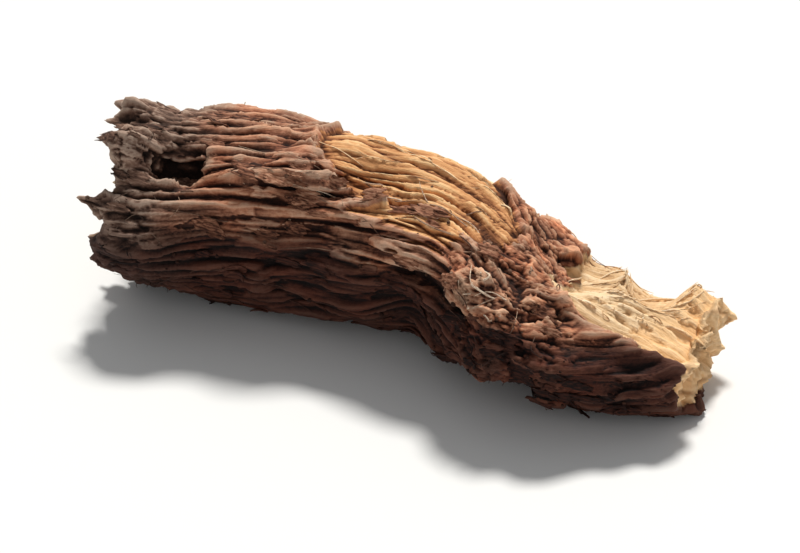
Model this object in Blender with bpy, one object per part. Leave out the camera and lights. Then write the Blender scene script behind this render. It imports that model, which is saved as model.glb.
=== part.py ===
"""A chip of dried echinacea root, as it comes cut for tea.

The chip is a length of root that was split down one side and chopped at both ends. Wrinkled bark wraps its
front, its top and its underside. An almond of bark has come off the top, a knot with the stubs of rootlets
swells towards one end, and past the knot an oblique cut bares the wood as a tongue.

Metres, +Z up. +X runs along the chip to the tip of the bare wood, and -Y is its front. The origin is on the
surface that the chip lies on, under the middle of its box. Angles turn about the chip's heart, from the
back (0) over the top (90) and the front (180) to the underside (270).
"""

import math
import random

import bmesh
import bpy
from mathutils import Matrix, Vector, noise

MM = 0.001

# The length of root that the chip is made from, and how finely its skin is divided.
LENGTH = 24.0 * MM
RINGS = 54
SIDES = 72

# The heart line and the bark around it: share of the length, then in millimetres how far the heart lies to
# the back and how high, and the bark's half depth and half height.
STATIONS = (
    (0.00, -0.75, 3.30, 3.15, 3.15),
    (0.12, -0.70, 3.30, 3.70, 3.50),
    (0.28, 0.50, 3.35, 3.75, 3.50),
    (0.45, 1.15, 3.40, 3.70, 3.40),
    (0.58, 1.00, 3.34, 3.75, 3.30),
    (0.70, -0.20, 2.65, 3.85, 2.85),
    (0.82, -0.25, 2.20, 3.65, 2.45),
    (0.93, 0.60, 2.00, 3.05, 2.15),
    (1.00, 0.90, 1.95, 2.50, 1.80),
)

# Flat cuts through the root: a point on the cut in millimetres, its outward normal, and how rough it is.
CUTS = (
    ((12.0, 3.30, 3.3), (0.03, 0.97, 0.22), 0.25),  # the split down the back
    ((18.0, 0.00, 5.15), (0.36, -0.12, 0.78), 0.20),  # the oblique cut that bares the tongue
    ((12.0, -2.00, 0.95), (0.03, -0.66, -0.75), 0.15),  # the shrunken lower front
)
CUT_EDGE = 0.25 * MM  # how soft the edge between a cut and the bark is
CUT_GRAIN = 2.6 * MM  # how long the ridges of torn wood on a cut are
CUT_RIDGES_PER_RADIAN = 4.2
CUT_FACING = 0.05  # a cut is felt only in directions that face it at least this much
LEAST_RADIUS = 0.25 * MM

# The wrinkles of the bark: lengthwise ridges, which turn a little round the root.
RIDGE_HEIGHT = 0.62 * MM
RIDGE_LENGTH = 4.6 * MM
RIDGES_PER_RADIAN = 3.2
RIDGE_TURN = 20.0  # radians of turn in a metre of root
FINE_SHARE = 0.3  # how much of a ridge's height is in the finer wrinkles
FINE_SCALE = 1.8
RIDGE_LEVEL = 0.4  # the part of a ridge that lies under the smooth bark

SWELL = 0.5 * MM  # the broad unevenness under the wrinkles
SWELL_LENGTH = 2.9 * MM

# Deep furrows in the bark: from and to along the root in millimetres, from and to in degrees, and depth.
FURROWS = (
    (0.0, 3.4, 136.0, 122.0, 0.60),
    (4.2, 14.5, 133.0, 124.0, 0.45),
    (6.0, 13.0, 153.0, 148.0, 0.40),
    (8.5, 17.0, 114.0, 110.0, 0.40),
    (9.5, 18.0, 170.0, 160.0, 0.50),
    (1.5, 11.5, 198.0, 206.0, 0.45),
    (8.0, 16.5, 232.0, 224.0, 0.45),
    (1.0, 9.0, 262.0, 270.0, 0.40),
)
FURROW_HALF_WIDTH = 0.36 * MM
FURROW_WANDER = 0.07  # radians that a furrow strays to each side
FURROW_BEND = 1.3 * MM

# The almond on the top where the bark has come off.
ALMOND_MIDDLE = 11.4 * MM
ALMOND_HALF_LENGTH = 5.2 * MM
ALMOND_ANGLE = math.radians(86.0)
ALMOND_HALF_ANGLE = math.radians(46.0)
ALMOND_SKEW = 0.12  # radians that the almond turns from its middle to its tip
ALMOND_SHAPE = 1.6  # 2 is an ellipse, and less has sharper tips
ALMOND_RAGGED = 0.16
ALMOND_SMOOTH = 0.7  # how much of the ridges is missing on the bare wood
BARK_THICKNESS = 0.45 * MM

# Lumps and hollows in the skin: place along the root in millimetres, angle in degrees, radius, height.
LUMPS = (
    (18.4, 208.0, 2.50, 1.15),
    (16.4, 150.0, 1.70, 0.50),
    (19.6, 172.0, 1.30, 0.50),
    (20.6, 226.0, 1.60, 0.60),
    (1.9, 118.0, 1.30, 0.60),
    (3.9, 160.0, 1.30, 0.45),
    (3.8, 119.0, 1.05, -1.80),
    (1.2, 84.0, 1.00, 0.35),
    (1.5, 215.0, 1.60, 0.70),
    (7.6, 186.0, 1.70, -0.45),
    (13.2, 196.0, 1.80, -0.60),
    (8.6, 96.0, 2.20, 0.30),
    (17.8, 54.0, 2.20, -1.45),
)
KNOT_MIDDLE = 18.0 * MM
KNOT_HALF_LENGTH = 3.0 * MM
KNOT_ROUGHNESS = 0.62 * MM
KNOT_GRAIN = 1.05 * MM

# Bites out of the edge of the split, and teeth left standing: the same measures, taken off after the cuts.
BITES = (
    (20.95, 44.0, 0.95, 1.70),
    (20.2, 44.0, 0.60, -0.50),
    (20.85, 22.0, 0.95, 1.50),
    (22.4, 38.0, 0.75, -0.65),
    (9.4, 40.0, 0.90, 0.40),
    (15.2, 36.0, 1.10, 0.45),
)

# How far the ragged ends fall short of the full length, at their deepest.
LEFT_RAGGED = 2.6 * MM
RIGHT_RAGGED = 1.2 * MM
END_ROUGHNESS = 0.70 * MM
END_GRAIN = 0.75 * MM
END_HOLLOW = 0.25 * MM  # how far the broken face lies inside the teeth of its rim
END_RINGS = (0.92, 0.80, 0.62, 0.42, 0.22)  # the rings that close an end, as shares of its radius
TOOTH_STEEPNESS = 6  # how soon the teeth of the rim die away inwards

# Splinters at the torn ends and edges: how many, from and to along the root in millimetres, from and to in
# degrees, and which way they point.
SPLINTERS = (
    (5, (1.6, 2.4), (150.0, 350.0), -1.0),
    (2, (1.6, 2.2), (20.0, 58.0), -1.0),
    (5, (21.6, 22.4), (165.0, 385.0), 1.0),
    (2, (8.0, 19.0), (30.0, 44.0), 1.0),
    (2, (3.0, 16.0), (316.0, 330.0), -1.0),
)
SPLINTER_LENGTH = (2.2 * MM, 3.4 * MM)
SPLINTER_WIDTH = (0.8 * MM, 1.25 * MM)
SPLINTER_THICKNESS = 0.7 * MM
SPLINTER_TAPER = ((0.0, 1.0), (0.55, 0.9), (0.85, 0.5), (1.0, 0.16))  # shares of its length and its width
SPLINTER_SECTION = ((-1.0, -0.5), (0.0, -1.0), (1.0, -0.5), (0.9, 0.6), (-0.9, 0.6))
SPLINTER_SUNK = 0.55  # share of its length inside the root
SPLINTER_DEPTH = 0.7  # how deep its line lies under the skin, for its thickness
SPLINTER_SPREAD = 0.14
SPLINTER_LEAN = 0.3
SPLINTER_LIFT = 0.16  # how far a splinter stands off the skin, for its length

# Stubs of rootlets on the bark: place along the root in millimetres, angle in degrees, radius, height.
ROOTLETS = (
    (17.4, 172.0, 0.46, 0.40),
    (18.9, 200.0, 0.42, 0.35),
    (15.6, 150.0, 0.40, 0.30),
    (20.6, 184.0, 0.36, 0.35),
    (7.4, 192.0, 0.40, 0.25),
)
ROOTLET_FLARE = ((0.0, 1.7), (0.4, 1.0), (0.8, 0.8), (1.0, 0.5))  # share of its height, share of its radius
ROOTLET_FOOT = 2.1  # its radius where it starts inside the root, for its own
ROOTLET_SIDES = 9
ROOTLET_SUNK = 0.9 * MM
ROOTLET_LEAN = 0.25
ROOTLET_UNEVEN = 0.35

SEED = 7
SHARP_EDGE = math.radians(35.0)
BARK_COLOUR = (0.145, 0.072, 0.045, 1.0)
BARK_ROUGHNESS = 0.85


def clear_scene():
    for obj in list(bpy.data.objects):
        bpy.data.objects.remove(obj, do_unlink=True)


def outward(angle, along=0.0):
    """The direction square to the root at an angle, leant towards +X by along."""
    return Vector((along, math.cos(angle), math.sin(angle)))


def eased(low, high, value):
    """0 below low, 1 above high, and a smooth rise between them."""
    share = min(max((value - low) / (high - low), 0.0), 1.0)
    return share * share * (3.0 - 2.0 * share)


def turned(angle, middle):
    """How far an angle lies from another, from -pi to pi."""
    return (angle - middle + math.pi) % (2.0 * math.pi) - math.pi


def station(x):
    """Heart offset, heart height, half depth and half height at x, on a smooth curve through STATIONS."""
    share = min(max(x / LENGTH, 0.0), 1.0)
    last = len(STATIONS) - 1
    i = min(sum(1 for row in STATIONS[1:-1] if row[0] <= share), last - 1)
    before, here, there, after = (STATIONS[min(max(k, 0), last)] for k in range(i - 1, i + 3))
    width = there[0] - here[0]
    t = (share - here[0]) / width
    values = []
    for column in range(1, len(here)):
        slope_here = (there[column] - before[column]) / (there[0] - before[0]) * width
        slope_there = (after[column] - here[column]) / (after[0] - here[0]) * width
        values.append(
            (2 * t**3 - 3 * t**2 + 1) * here[column]
            + (t**3 - 2 * t**2 + t) * slope_here
            + (3 * t**2 - 2 * t**3) * there[column]
            + (t**3 - t**2) * slope_there
        )
    return [value * MM for value in values]


def ridges(x, angle):
    """The wrinkles, from 0 in a furrow to about 1 on a crest."""
    turn = outward(angle + RIDGE_TURN * x) * RIDGES_PER_RADIAN
    turn.x = x / RIDGE_LENGTH
    coarse = abs(2.0 * noise.noise(turn))
    fine = abs(2.0 * noise.noise(FINE_SCALE * turn + Vector((7.0, 3.0, 5.0))))
    return (1.0 - FINE_SHARE) * coarse + FINE_SHARE * fine


def furrows(x, angle, radius):
    """How deep the furrows cut here."""
    depth = 0.0
    for start, end, angle_from, angle_to, deepest in FURROWS:
        share = (x / MM - start) / (end - start)
        if not 0.0 < share < 1.0:
            continue
        middle = math.radians(angle_from + (angle_to - angle_from) * share)
        middle += FURROW_WANDER * noise.noise(Vector((x / FURROW_BEND, middle, 0.0)))
        away = abs(turned(angle, middle)) * radius / FURROW_HALF_WIDTH
        depth += deepest * MM * max(1.0 - away, 0.0) * math.sin(math.pi * share) ** 0.5
    return depth


def almond(x, angle):
    """1 where the bark has come off the top, 0 where it is on."""
    along = (x - ALMOND_MIDDLE) / ALMOND_HALF_LENGTH
    around = turned(angle, ALMOND_ANGLE + ALMOND_SKEW * along) / ALMOND_HALF_ANGLE
    edge = ALMOND_RAGGED * noise.noise(Vector((x / MM, 3.0 * angle, 4.0)))
    return 1.0 - eased(0.90, 1.02, abs(along) ** ALMOND_SHAPE + abs(around) ** ALMOND_SHAPE + edge)


def distance(x, angle, radius, place, degrees):
    """How far a point of the skin lies from a place in millimetres and degrees, in millimetres."""
    return math.hypot(x / MM - place, turned(angle, math.radians(degrees)) * radius / MM)


def lumps(x, angle, radius):
    height = 0.0
    for place, degrees, size, top in LUMPS:
        away = distance(x, angle, radius, place, degrees) / size
        height += top * MM * math.exp(-2.0 * away * away)
    return height


def bites(x, angle, radius):
    depth = 0.0
    for place, degrees, size, deepest in BITES:
        away = distance(x, angle, radius, place, degrees) / size
        depth += deepest * MM * max(1.0 - away, 0.0)
    return depth


def bark_radius(x, angle, half_depth, half_height):
    """How far the bark lies from the heart line."""
    radius = 1.0 / math.hypot(math.cos(angle) / half_depth, math.sin(angle) / half_height)
    bare = almond(x, angle)
    relief = RIDGE_HEIGHT * (ridges(x, angle) - RIDGE_LEVEL) * (1.0 - ALMOND_SMOOTH * bare)
    relief -= furrows(x, angle, radius) * (1.0 - bare)
    relief -= BARK_THICKNESS * bare
    relief += lumps(x, angle, radius)
    place = outward(angle) * radius + Vector((x, 0.0, 0.0))
    relief += SWELL * noise.noise(place / SWELL_LENGTH)
    knotty = math.exp(-(((x - KNOT_MIDDLE) / KNOT_HALF_LENGTH) ** 2))
    relief += KNOT_ROUGHNESS * knotty * noise.noise(place / KNOT_GRAIN)
    return radius + relief


def cut_radius(x, angle, heart, cut):
    """How far a cut lies from the heart line in this direction, or None where it lies the other way."""
    point, normal, roughness = cut
    normal = Vector(normal).normalized()
    facing = normal.dot(outward(angle))
    if facing < CUT_FACING:
        return None
    reach = (Vector(point) * MM - heart).dot(normal)
    grain = Vector((x / CUT_GRAIN, CUT_RIDGES_PER_RADIAN * angle, normal.z * 9.0))
    step = noise.noise(grain) + 0.5 * noise.noise(2.0 * grain + Vector((5.0, 0.0, 0.0)))
    return max((reach + roughness * MM * step) / facing, LEAST_RADIUS)


def skin_point(x, angle):
    """The point of the skin at x in the direction of angle."""
    offset, height, half_depth, half_height = station(x)
    heart = Vector((x, offset, height))
    radius = bark_radius(x, angle, half_depth, half_height)
    for cut in CUTS:
        reach = cut_radius(x, angle, heart, cut)
        if reach is not None:
            blend = max(CUT_EDGE - abs(radius - reach), 0.0) / CUT_EDGE
            radius = min(radius, reach) - blend * blend * CUT_EDGE / 4.0
    radius -= bites(x, angle, radius)
    return heart + radius * outward(angle)


def end_at(angle, right):
    """Where the ragged end lies along the root in this direction."""
    turn = outward(angle, 8.0 if right else 2.0)
    broad = noise.noise(1.3 * turn)
    teeth = abs(2.0 * noise.noise(4.5 * turn))
    short = min(max(0.45 + 0.7 * broad + 0.5 * (teeth - 0.4), 0.0), 1.0)
    return LENGTH - RIGHT_RAGGED * short if right else LEFT_RAGGED * short


def end_rows(rim, right):
    """Rings of points that close an end inside its rim, from the rim to the middle of the broken face."""
    middle_x = sum(point.x for point in rim) / SIDES
    middle = Vector((middle_x, *station(middle_x)[:2]))
    way = 1.0 if right else -1.0
    rows = []
    for share in END_RINGS:
        row = []
        for edge in rim:
            point = middle.lerp(edge, share)
            face = middle.x - way * END_HOLLOW
            face += END_ROUGHNESS * noise.noise(Vector((way, point.y / END_GRAIN, point.z / END_GRAIN)))
            point.x = face + (edge.x - face) * share**TOOTH_STEEPNESS
            row.append(point)
        rows.append(row)
    return rows


def loft(rings):
    """A closed mesh through rings of points that all have the same number of points."""
    mesh = bmesh.new()
    loops = [[mesh.verts.new(point) for point in ring] for ring in rings]
    for first, second in zip(loops, loops[1:]):
        for k in range(len(first)):
            after = (k + 1) % len(first)
            mesh.faces.new((first[k], first[after], second[after], second[k]))
    for end in (loops[0], loops[-1]):
        middle = mesh.verts.new(sum((v.co for v in end), Vector()) / len(end))
        for k in range(len(end)):
            mesh.faces.new((end[k], end[(k + 1) % len(end)], middle))
    bmesh.ops.recalc_face_normals(mesh, faces=mesh.faces)
    return mesh


def root_mesh():
    """The chip's skin, lofted through rings of points, and closed by the rings of its broken ends."""
    angles = [2.0 * math.pi * k / SIDES for k in range(SIDES)]
    rows = []
    for ring in range(RINGS):
        share = ring / (RINGS - 1)
        row = []
        for angle in angles:
            left = end_at(angle, False)
            right = end_at(angle, True)
            row.append(skin_point(left + (right - left) * share, angle))
        rows.append(row)
    return loft(list(reversed(end_rows(rows[0], False))) + rows + end_rows(rows[-1], True))


def object_of(mesh, name, collection):
    data = bpy.data.meshes.new(name)
    mesh.to_mesh(data)
    mesh.free()
    obj = bpy.data.objects.new(name, data)
    collection.objects.link(obj)
    return obj


def add_stick(rings, start, direction, upright, name, collection):
    """A stick through rings of points, stood at start along direction, with its +Y side away from upright."""
    across = upright.cross(direction).normalized()
    frame = Matrix((across, direction.cross(across).normalized(), direction)).transposed().to_4x4()
    mesh = loft(rings)
    bmesh.ops.transform(mesh, matrix=Matrix.Translation(start) @ frame, verts=mesh.verts)
    object_of(mesh, name, collection)


def add_splinter(draw, x, angle, way, collection):
    """A flat splinter at x and angle, tapered to its tip, which points towards way."""
    out = outward(angle)
    direction = Vector((way, draw.uniform(-SPLINTER_SPREAD, SPLINTER_SPREAD), 0.0))
    direction.z = draw.uniform(-SPLINTER_SPREAD, SPLINTER_SPREAD)
    direction = (direction + SPLINTER_LIFT * out).normalized()
    length = draw.uniform(*SPLINTER_LENGTH)
    width = draw.uniform(*SPLINTER_WIDTH)
    lean = draw.uniform(-SPLINTER_LEAN, SPLINTER_LEAN) * width
    start = skin_point(x, angle) - SPLINTER_DEPTH * SPLINTER_THICKNESS * out
    start -= SPLINTER_SUNK * length * direction
    rings = []
    for share, broad in SPLINTER_TAPER:
        half = width * broad / 2.0
        thick = SPLINTER_THICKNESS * (1.0 + 2.0 * broad) / 6.0
        middle = Vector((lean, 0.0, length)) * share
        rings.append([middle + Vector((half * u, thick * v, 0.0)) for u, v in SPLINTER_SECTION])
    add_stick(rings, start, direction, out, "splinter", collection)


def add_splinters(draw, collection):
    """Splinters that stand out of the torn ends and edges, along the grain."""
    for count, places, angles, way in SPLINTERS:
        for k in range(count):
            x = draw.uniform(*places) * MM
            angle = math.radians(angles[0] + (angles[1] - angles[0]) * (k + draw.random()) / count)
            add_splinter(draw, x, angle, way, collection)


def add_rootlets(collection):
    """The stubs of broken rootlets, flared where they leave the bark."""
    for place, degrees, radius, height in ROOTLETS:
        angle = math.radians(degrees)
        out = outward(angle, ROOTLET_LEAN).normalized()
        start = skin_point(place * MM, angle) - out * ROOTLET_SUNK
        profile = [(0.0, ROOTLET_FOOT * radius * MM)]
        profile += [(ROOTLET_SUNK + share * height * MM, wide * radius * MM) for share, wide in ROOTLET_FLARE]
        rings = []
        for depth, wide in profile:
            ring = []
            for k in range(ROOTLET_SIDES):
                turn = 2.0 * math.pi * k / ROOTLET_SIDES
                side = wide * (1.0 + ROOTLET_UNEVEN * noise.noise(outward(turn, place)))
                ring.append(Vector((side * math.cos(turn), side * math.sin(turn), depth)))
            rings.append(ring)
        add_stick(rings, start, out, Vector((0.0, 0.0, 1.0)), "rootlet", collection)


def join_growths(root):
    """Fuses the splinters and the rootlet stubs to the root, as they grew."""
    growths = bpy.data.collections.new("growths")
    bpy.context.scene.collection.children.link(growths)
    add_splinters(random.Random(SEED), growths)
    add_rootlets(growths)
    union = root.modifiers.new("join growths", "BOOLEAN")
    union.operation = "UNION"
    union.operand_type = "COLLECTION"
    union.collection = growths
    joined = bpy.data.meshes.new_from_object(root.evaluated_get(bpy.context.evaluated_depsgraph_get()))
    root.modifiers.remove(union)
    root.data = joined
    for obj in list(growths.objects):
        bpy.data.objects.remove(obj, do_unlink=True)
    bpy.data.collections.remove(growths)


def settle(root):
    """Cuts the underside where it meets the surface, and brings the origin under the middle of the box."""
    mesh = bmesh.new()
    mesh.from_mesh(root.data)
    everything = mesh.verts[:] + mesh.edges[:] + mesh.faces[:]
    cut = bmesh.ops.bisect_plane(mesh, geom=everything, plane_no=(0.0, 0.0, -1.0), clear_outer=True)
    rims = [part for part in cut["geom_cut"] if isinstance(part, bmesh.types.BMEdge)]
    bmesh.ops.holes_fill(mesh, edges=rims)
    bmesh.ops.recalc_face_normals(mesh, faces=mesh.faces)
    middle = Vector()
    for axis in (0, 1):
        places = [v.co[axis] for v in mesh.verts]
        middle[axis] = (min(places) + max(places)) / 2.0
    bmesh.ops.translate(mesh, verts=mesh.verts, vec=-middle)
    mesh.to_mesh(root.data)
    mesh.free()


def bark_material():
    material = bpy.data.materials.new("root bark")
    material.use_nodes = True
    shader = material.node_tree.nodes["Principled BSDF"]
    shader.inputs["Base Color"].default_value = BARK_COLOUR
    shader.inputs["Roughness"].default_value = BARK_ROUGHNESS
    shader.inputs["Metallic"].default_value = 0.0
    return material


def main():
    clear_scene()
    chip = bpy.data.collections.new("echinacea root")
    bpy.context.scene.collection.children.link(chip)
    root = object_of(root_mesh(), "echinacea_root", chip)
    join_growths(root)
    settle(root)
    root.data.shade_smooth()
    root.data.set_sharp_from_angle(angle=SHARP_EDGE)
    root.data.materials.clear()
    root.data.materials.append(bark_material())


main()
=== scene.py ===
"""The looks of a chip of dried echinacea root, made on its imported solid.

The solid is remeshed finely, and formulas that follow the grain raise wrinkles, cracks and torn fibres on it.
Lengths are in millimetres until a mesh is finished. Angles turn about the chip's heart line: the back is 0,
the top 90, the front 180 and the underside 270 degrees.
"""

import math
import random
from itertools import product

import bpy
import numpy as np
from mathutils import Matrix, Vector
from mathutils.bvhtree import BVHTree


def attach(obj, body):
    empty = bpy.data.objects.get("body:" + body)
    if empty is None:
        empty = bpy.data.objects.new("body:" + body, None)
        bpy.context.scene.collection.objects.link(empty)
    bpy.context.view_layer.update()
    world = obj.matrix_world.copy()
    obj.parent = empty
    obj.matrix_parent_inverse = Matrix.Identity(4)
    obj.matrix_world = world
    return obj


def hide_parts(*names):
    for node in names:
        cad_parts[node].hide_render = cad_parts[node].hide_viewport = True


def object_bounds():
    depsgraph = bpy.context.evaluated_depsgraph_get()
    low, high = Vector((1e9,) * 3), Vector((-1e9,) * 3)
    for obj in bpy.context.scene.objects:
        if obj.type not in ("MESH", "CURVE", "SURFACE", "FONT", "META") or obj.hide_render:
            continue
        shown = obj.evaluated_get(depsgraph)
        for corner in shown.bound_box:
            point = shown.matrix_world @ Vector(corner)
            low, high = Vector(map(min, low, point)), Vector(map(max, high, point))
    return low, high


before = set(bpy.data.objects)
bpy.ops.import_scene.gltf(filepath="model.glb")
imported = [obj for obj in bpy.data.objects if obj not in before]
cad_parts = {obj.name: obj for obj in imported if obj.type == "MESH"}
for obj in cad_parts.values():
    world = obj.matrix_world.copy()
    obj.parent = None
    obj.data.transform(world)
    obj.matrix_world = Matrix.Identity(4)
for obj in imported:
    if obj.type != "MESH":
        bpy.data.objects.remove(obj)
cad_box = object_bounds()

MM = 0.001
NODE = "echinacea_root"
BODY = "root"

# The length of root that the part's source lofts, and where the frame's origin lies in it.
LENGTH = 24.0
MIDDLE = LENGTH / 2.0
LOFT_ORIGIN = np.array((12.0, -0.42, 0.0))

# The heart line and the bark round it: share of the length, how far the heart lies to the back and how high,
# and the bark's half depth and half height.
STATIONS = np.array((
    (0.00, -0.75, 3.30, 3.15, 3.15),
    (0.12, -0.70, 3.30, 3.70, 3.50),
    (0.28, 0.50, 3.35, 3.75, 3.50),
    (0.45, 1.15, 3.40, 3.70, 3.40),
    (0.58, 1.00, 3.34, 3.75, 3.30),
    (0.70, -0.20, 2.65, 3.85, 2.85),
    (0.82, -0.25, 2.20, 3.65, 2.45),
    (0.93, 0.60, 2.00, 3.05, 2.15),
    (1.00, 0.90, 1.95, 2.50, 1.80),
))
GRAIN_TURN = 0.020  # radians that the grain turns in a millimetre

# Radii that turn an angle into a width: of the whole root, of its lobes and of its knot.
GIRTH = 3.6
LOBE_GIRTH = 3.2
KNOT_GIRTH = 4.0

# The two cuts that bare the wood: a point and an outward normal.
TONGUE_CUT = ((18.0, 0.00, 5.15), (0.36, -0.12, 0.78))
BACK_CUT = ((12.0, 3.30, 3.3), (0.03, 0.97, 0.22))

# The almond on the top where the bark has come off, as its middle, half length and half angle to the front.
# The inner bark that shows in it is shorter than the solid's hollow, and frays further to the front.
ALMOND_ANGLE = math.radians(86.0)
ALMOND_HALF_ANGLE = math.radians(46.0)
ALMOND_SKEW = 0.12
ALMOND_SHAPE = 1.6
ALMOND = (11.4, 5.2, ALMOND_HALF_ANGLE)
WINDOW = (12.35, 4.35, math.radians(60.0))
BARK_THICKNESS = 0.30
LIP_HEIGHT = 0.11  # how far the bark's edge curls up round the almond

# The tongue of bare wood: where it starts, and how far round to the front it reaches, in degrees.
TONGUE_START = 18.1
TONGUE_TOP = 100.0
TONGUE_REACH = 50.0
TONGUE_RUN = 4.1
BACK_REACH = -72.0  # how far down the back the bark is gone round the tongue, in degrees
RIM_HEIGHT = 0.16  # how far the bark's edge stands up along the tongue

KNOT_MIDDLE = 17.6
KNOT_HALF_LENGTH = 2.5

# The broken ends: where the left face ends, where the right one starts, and where all under the bark is wood.
LEFT_FACE_END = 3.6
RIGHT_FACE_START = 22.6
BARE_TIP_START = 22.0

# The weathered left end: where it starts along the root, and from where on it is weathered all over.
WORN_LOOK = (5.4, 3.0)
WORN_SHAPE = (5.2, 3.0)

# The stubs of broken rootlets: place along the root, degrees, radius.
ROOTLETS = (
    (17.4, 172.0, 0.46),
    (18.9, 200.0, 0.42),
    (15.6, 150.0, 0.40),
    (20.6, 184.0, 0.36),
    (7.4, 192.0, 0.40),
)

# Fissures in the bare almond and the bark under it: from and to along the root, from and to in degrees,
# depth and half width.
FISSURES = (
    (6.2, 11, 122, 114, 0.34, 0.15),
    (9.2, 15.2, 112, 106, 0.36, 0.14),
    (8.4, 12.6, 102, 98, 0.22, 0.11),
    (10.2, 15.8, 124, 117, 0.32, 0.16),
    (12.2, 16.6, 136, 130, 0.3, 0.15),
    (5, 10.4, 142, 138, 0.3, 0.16),
    (7.2, 13.4, 130, 126, 0.28, 0.13),
    (10.4, 16.2, 90, 88, 0.16, 0.1),
)

PIT = (3.85, 120.0, 0.75, 0.65)  # place along the root, degrees, radius and depth

# The fine mesh of the skin. The solid is squeezed along the grain for it, so its faces are longer that way.
SQUEEZE = 0.5
VOXEL = 0.072
FOOT_FADE = 0.35  # how high above the floor the relief has its full height

# Rounds of smoothing: for the solid's facets, for the way that relief is raised, and for ridges on bare wood.
FACET_ROUNDS = 9
NORMAL_ROUNDS = 12
CUT_ROUNDS = 40

END_REACH = 0.02  # how far the broken ends stay inside the solid's length
SIDE_REACH = 0.12  # how far the skin stands out freely past the solid's box, in front and behind
SIDE_PRESS = 0.7  # the share by which the skin is pressed back from further out
BOX_FRONT = cad_box[0][1] / MM + LOFT_ORIGIN[1] - SIDE_REACH
BOX_BACK = cad_box[1][1] / MM + LOFT_ORIGIN[1] + SIDE_REACH

FLOOR_SIZE = 2.0  # metres
FLOOR_GAP = 0.00002  # metres that the floor lies under the chip

# The slopes that all the noise is made of.
LATTICE = np.random.default_rng(23)
SHUFFLE = LATTICE.permutation(256)
SLOPES = LATTICE.normal(size=(256, 3))
SLOPES /= np.linalg.norm(SLOPES, axis=1)[:, None]


def eased(low, high, value):
    """0 below low, 1 above high, and a smooth rise between them."""
    share = np.clip((value - low) / (high - low), 0.0, 1.0)
    return share * share * (3.0 - 2.0 * share)


def peak(value, middle, width):
    """1 at the middle, and falling off on both sides of it."""
    return np.exp(-(((value - middle) / width) ** 2))


def hashed(cell, seed):
    """A number from 0 to 255 for each row of whole numbers."""
    first = SHUFFLE[(cell[:, 0] + 37 * seed) & 255]
    second = SHUFFLE[(first + cell[:, 1]) & 255]
    return SHUFFLE[(second + cell[:, 2]) & 255]


def noise(points, seed=0):
    """Smooth noise at each row of points, about -1 to 1, with another pattern for each seed."""
    cell = np.floor(points).astype(int)
    local = points - cell
    fade = local**3 * (local * (local * 6.0 - 15.0) + 10.0)
    total = np.zeros(len(points))
    for corner in product((0, 1), repeat=3):
        slope = SLOPES[hashed(cell + corner, seed)]
        weight = np.where(corner, fade, 1.0 - fade).prod(axis=1)
        total += weight * (slope * (local - corner)).sum(axis=1)
    return 1.5 * total


def layered(points, seed, layers=3):
    """Noise with finer and finer noise added to it."""
    total = np.zeros(len(points))
    for layer in range(layers):
        total += noise(points * 2.03**layer, seed + layer) * 0.5**layer
    return total


def creased(points, seed):
    """Rounded crests with sharp creases between them, from 0 to about 1."""
    return np.abs(2.0 * noise(points, seed))


def cells(points, seed):
    """The nearest of many strewn points: its lead over the next one, its code and the way from it."""
    cell = np.floor(points).astype(int)
    nearest = np.full(len(points), 9.0)
    second = np.full(len(points), 9.0)
    code = np.zeros(len(points), int)
    way = np.zeros_like(points)
    for step in product((-1, 0, 1), repeat=3):
        there = cell + step
        strewn = hashed(there, seed)
        apart = points - (there + 0.5 + 0.42 * SLOPES[strewn])
        away = np.linalg.norm(apart, axis=1)
        closer = away < nearest
        second = np.where(closer, nearest, np.minimum(second, away))
        code = np.where(closer, strewn, code)
        way = np.where(closer[:, None], apart, way)
        nearest = np.where(closer, away, nearest)
    return second - nearest, code, way


def shards(points, seed):
    """Flat scales, each tilted its own way at its own height, with cracks between them."""
    lead, code, way = cells(points, seed)
    tilt = (SLOPES[(code + 91) & 255] * way).sum(axis=1)
    return code / 255.0 - 0.5 + tilt - 0.45 * eased(0.12, 0.0, lead)


def station(x):
    """The four measures of STATIONS at x, on a smooth curve."""
    share = np.clip(x / LENGTH, 0.0, 1.0)
    last = len(STATIONS) - 1
    i = np.clip(np.searchsorted(STATIONS[:, 0], share, side="right") - 1, 0, last - 1)
    before, here, there, after = (STATIONS[np.clip(i + k, 0, last)] for k in (-1, 0, 1, 2))
    width = (there - here)[:, :1]
    t = ((share - here[:, 0]) / width[:, 0])[:, None]
    slope_here = (there - before) / (there - before)[:, :1] * width
    slope_there = (after - here) / (after - here)[:, :1] * width
    curve = (2 * t**3 - 3 * t**2 + 1) * here + (t**3 - 2 * t**2 + t) * slope_here
    curve += (3 * t**2 - 2 * t**3) * there + (t**3 - t**2) * slope_there
    return curve[:, 1:].T


def heart_at(x):
    """Where the heart line lies at one place along the root."""
    return station(np.array([x]))[:2, 0]


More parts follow.
